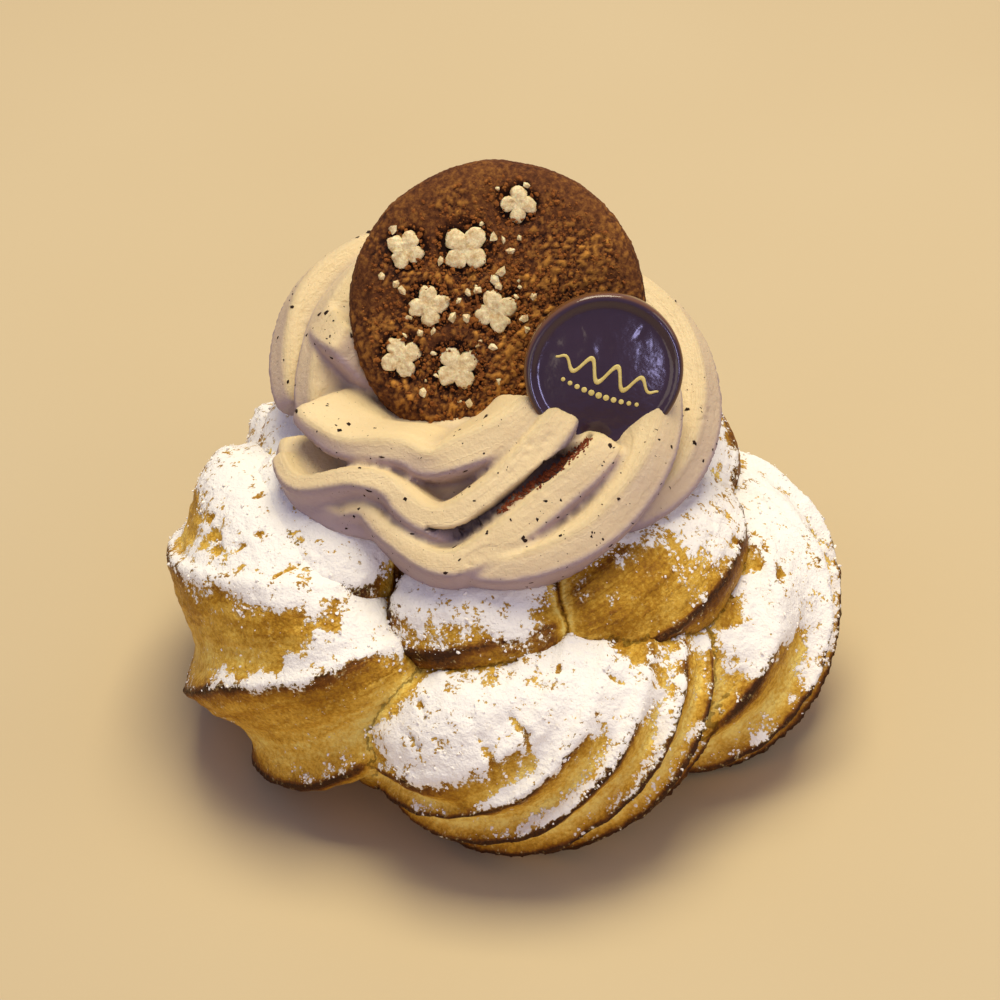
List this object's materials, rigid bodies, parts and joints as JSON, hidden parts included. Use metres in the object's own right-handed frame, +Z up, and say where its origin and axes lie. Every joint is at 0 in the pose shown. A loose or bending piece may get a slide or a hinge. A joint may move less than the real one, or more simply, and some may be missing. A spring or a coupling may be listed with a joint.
{
  "type": "zeppola pastry",
  "caption": "Baked choux pastry in two piped tiers, dusted with sugar, topped with a cream swirl, a round cocoa biscuit and a chocolate disc.",
  "frame": {"origin": "on the resting surface, under the middle of the whole outline", "axes": "+Z up; -Y towards the side that the biscuit and the chocolate disc face; +X to the right of it"},
  "size_m": [0.0992, 0.095, 0.0812],
  "materials": {
    "crust": "baked choux crust, satin, under icing sugar",
    "cream": "piped coffee cream, soft matt",
    "cocoa_biscuit": "dry crumbly cocoa biscuit with pale icing",
    "dark_chocolate": "glossy moulded chocolate"
  },
  "bodies": {
    "root": {"choux": "crust", "cream": "cream", "biscuit": "cocoa_biscuit", "chocolate_disc": "dark_chocolate"}
  },
  "joints": []
}
